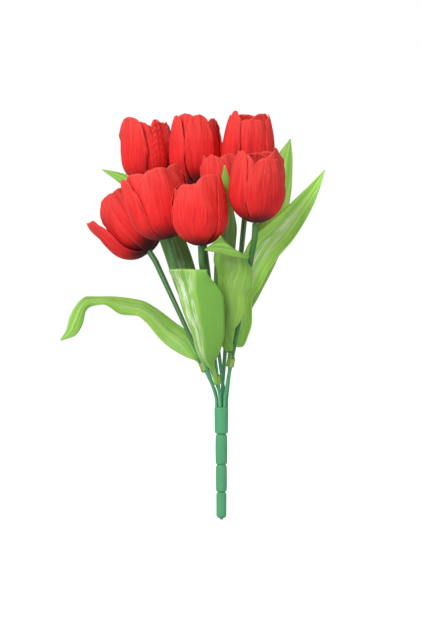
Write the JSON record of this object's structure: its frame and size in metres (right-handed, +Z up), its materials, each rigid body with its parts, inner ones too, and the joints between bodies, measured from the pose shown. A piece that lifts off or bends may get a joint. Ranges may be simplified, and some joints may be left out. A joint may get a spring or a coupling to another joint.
{
  "type": "artificial tulip bush",
  "caption": "Bush of artificial red tulips with fabric petals and leaves on bendable wired stems, gathered in one segmented stick handle",
  "frame": {"origin": "lower end of the handle, on the handle's axis", "axes": "+Z runs up the handle to the flowers; the bush faces -Y, towards the picture's camera; +X is the viewer's right"},
  "size_m": [0.2469, 0.187, 0.3844],
  "materials": {
    "handle_plastic": "satin moulded",
    "stem_plastic": "satin extruded sleeve",
    "wire_steel": "drawn wire",
    "petal_fabric": "dyed heat-formed woven fabric",
    "stamen_plastic": "moulded",
    "leaf_fabric": "printed coated fabric with glossy streaks",
    "collar_plastic": "moulded"
  },
  "bodies": {
    "handle": {"handle": "handle_plastic"},
    "upper_left_stem": {"upper_left_stem": "stem_plastic", "upper_left_stem_wire": "wire_steel"},
    "upper_left_head": {"upper_left_outer_petals": "petal_fabric", "upper_left_inner_petals": "petal_fabric", "upper_left_stamens": "stamen_plastic"},
    "upper_middle_stem": {"upper_middle_stem": "stem_plastic", "upper_middle_stem_wire": "wire_steel"},
    "upper_middle_head": {"upper_middle_outer_petals": "petal_fabric", "upper_middle_inner_petals": "petal_fabric", "upper_middle_stamens": "stamen_plastic"},
    "upper_right_stem": {"upper_right_stem": "stem_plastic", "upper_right_stem_wire": "wire_steel"},
    "upper_right_head": {"upper_right_outer_petals": "petal_fabric", "upper_right_inner_petals": "petal_fabric", "upper_right_stamens": "stamen_plastic"},
    "middle_left_stem": {"middle_left_stem": "stem_plastic", "middle_left_stem_wire": "wire_steel"},
    "middle_left_head": {"middle_left_outer_petals": "petal_fabric", "middle_left_inner_petals": "petal_fabric", "middle_left_stamens": "stamen_plastic"},
    "front_stem": {"front_stem": "stem_plastic", "front_stem_wire": "wire_steel"},
    "front_head": {"front_outer_petals": "petal_fabric", "front_inner_petals": "petal_fabric", "front_stamens": "stamen_plastic"},
    "right_stem": {"right_stem": "stem_plastic", "right_stem_wire": "wire_steel"},
    "right_head": {"right_outer_petals": "petal_fabric", "right_inner_petals": "petal_fabric", "right_stamens": "stamen_plastic"},
    "lower_left_stem": {"lower_left_stem": "stem_plastic", "lower_left_stem_wire": "wire_steel"},
    "lower_left_head": {"lower_left_outer_petals": "petal_fabric", "lower_left_inner_petals": "petal_fabric", "lower_left_stamens": "stamen_plastic"},
    "back_stem": {"back_stem": "stem_plastic", "back_stem_wire": "wire_steel"},
    "back_head": {"back_outer_petals": "petal_fabric", "back_inner_petals": "petal_fabric", "back_stamens": "stamen_plastic"},
    "left_leaf": {"left_leaf_blade": "leaf_fabric", "left_leaf_collar": "collar_plastic"},
    "front_left_leaf": {"front_left_leaf_blade": "leaf_fabric", "front_left_leaf_collar": "collar_plastic"},
    "front_right_leaf": {"front_right_leaf_blade": "leaf_fabric", "front_right_leaf_collar": "collar_plastic"},
    "right_leaf": {"right_leaf_blade": "leaf_fabric", "right_leaf_collar": "collar_plastic"},
    "back_right_leaf": {"back_right_leaf_blade": "leaf_fabric", "back_right_leaf_collar": "collar_plastic"},
    "back_left_leaf": {"back_left_leaf_blade": "leaf_fabric", "back_left_leaf_collar": "collar_plastic"},
    "middle_leaf": {"middle_leaf_blade": "leaf_fabric", "middle_leaf_collar": "collar_plastic"}
  },
  "joints": [
    {"name": "upper_left_stem_bend", "type": "hinge", "parent": "handle", "child": "upper_left_stem", "pos_m": [-0.00091, 0.00476, 0.1053], "axis": [-0.9848, 0.1736, 0], "range_deg": [0, 15]},
    {"name": "upper_left_head_turn", "type": "hinge", "parent": "upper_left_stem", "child": "upper_left_head", "pos_m": [-0.06885, 0.08599, 0.31755], "axis": [-0.0559, 0.0669, 0.9962], "range_deg": [-15, 15]},
    {"name": "upper_middle_stem_bend", "type": "hinge", "parent": "handle", "child": "upper_middle_stem", "pos_m": [0.00315, 0.00368, 0.1053], "axis": [-0.8829, 0.4695, 0], "range_deg": [0, 15]},
    {"name": "upper_middle_head_turn", "type": "hinge", "parent": "upper_middle_stem", "child": "upper_middle_head", "pos_m": [-0.02224, 0.05998, 0.31522], "axis": [-0.0358, 0.0794, 0.9962], "range_deg": [-30, 30]},
    {"name": "upper_right_stem_bend", "type": "hinge", "parent": "handle", "child": "upper_right_stem", "pos_m": [0.00485, -0.00017, 0.1053], "axis": [-0.7071, 0.7071, 0], "range_deg": [0, 15]},
    {"name": "upper_right_head_turn", "type": "hinge", "parent": "upper_right_stem", "child": "upper_right_head", "pos_m": [0.02479, 0.03998, 0.31649], "axis": [0.0233, 0.0469, 0.9986], "range_deg": [-30, 30]},
    {"name": "middle_left_stem_bend", "type": "hinge", "parent": "handle", "child": "middle_left_stem", "pos_m": [-0.00444, -0.00195, 0.1053], "axis": [0.342, -0.9397, 0], "range_deg": [0, 15]},
    {"name": "middle_left_head_turn", "type": "hinge", "parent": "middle_left_stem", "child": "middle_left_head", "pos_m": [-0.04972, -0.00199, 0.26094], "axis": [-0.225, -0.0002, 0.9744], "range_deg": [-15, 15]},
    {"name": "front_stem_bend", "type": "hinge", "parent": "handle", "child": "front_stem", "pos_m": [-0.00124, -0.00469, 0.1053], "axis": [0.5, -0.866, 0], "range_deg": [0, 15]},
    {"name": "front_head_turn", "type": "hinge", "parent": "front_stem", "child": "front_head", "pos_m": [-0.01872, -0.04202, 0.25246], "axis": [-0.0296, -0.0632, 0.9976], "range_deg": [-30, 30]},
    {"name": "right_stem_bend", "type": "hinge", "parent": "handle", "child": "right_stem", "pos_m": [0.00289, -0.0039, 0.1053], "axis": [0.1736, 0.9848, 0], "range_deg": [0, 15]},
    {"name": "right_head_turn", "type": "hinge", "parent": "right_stem", "child": "right_head", "pos_m": [0.03029, -0.046, 0.27282], "axis": [0.0475, -0.073, 0.9962], "range_deg": [-30, 30]},
    {"name": "lower_left_stem_bend", "type": "hinge", "parent": "handle", "child": "lower_left_stem", "pos_m": [-0.00429, 0.00226, 0.1053], "axis": [-0.2588, -0.9659, 0], "range_deg": [0, 15]},
    {"name": "lower_left_head_turn", "type": "hinge", "parent": "lower_left_stem", "child": "lower_left_head", "pos_m": [-0.06921, 0.046, 0.25162], "axis": [-0.5105, 0.3441, 0.788], "range_deg": [-15, 15]},
    {"name": "back_stem_bend", "type": "hinge", "parent": "handle", "child": "back_stem", "pos_m": [0, 0, 0.1053], "axis": [-0.8829, -0.4695, 0], "range_deg": [0, 4]},
    {"name": "back_head_turn", "type": "hinge", "parent": "back_stem", "child": "back_head", "pos_m": [0.00893, 0, 0.28596], "axis": [-0.2079, 0, 0.9781], "range_deg": [-30, 30]},
    {"name": "left_leaf_turn", "type": "hinge", "parent": "lower_left_stem", "child": "left_leaf", "pos_m": [-0.01608, 0.0102, 0.14144], "axis": [-0.4064, 0.2739, 0.8717], "range_deg": [-15, 15]},
    {"name": "front_left_leaf_turn", "type": "hinge", "parent": "front_stem", "child": "front_left_leaf", "pos_m": [-0.00361, -0.00975, 0.13046], "axis": [-0.1291, -0.2759, 0.9525], "range_deg": [-8, 8]},
    {"name": "front_right_leaf_turn", "type": "hinge", "parent": "right_stem", "child": "front_right_leaf", "pos_m": [0.00899, -0.01327, 0.14651], "axis": [0.1736, -0.2668, 0.948], "range_deg": [0, 5]},
    {"name": "right_leaf_turn", "type": "hinge", "parent": "upper_right_stem", "child": "right_leaf", "pos_m": [0.00901, 0.00821, 0.1524], "axis": [0.0996, 0.2006, 0.9746], "range_deg": [-3, 10]},
    {"name": "back_right_leaf_turn", "type": "hinge", "parent": "upper_right_stem", "child": "back_right_leaf", "pos_m": [0.01104, 0.01229, 0.17225], "axis": [0.0996, 0.2006, 0.9746], "range_deg": [-8, 8]},
    {"name": "back_left_leaf_turn", "type": "hinge", "parent": "middle_left_stem", "child": "back_left_leaf", "pos_m": [-0.01615, -0.00196, 0.15044], "axis": [-0.2976, -0.0003, 0.9547], "range_deg": [-5, 5]},
    {"name": "middle_leaf_turn", "type": "hinge", "parent": "front_stem", "child": "middle_leaf", "pos_m": [-0.00834, -0.01986, 0.16534], "axis": [-0.1291, -0.2759, 0.9525], "range_deg": [-4, 4]}
  ]
}
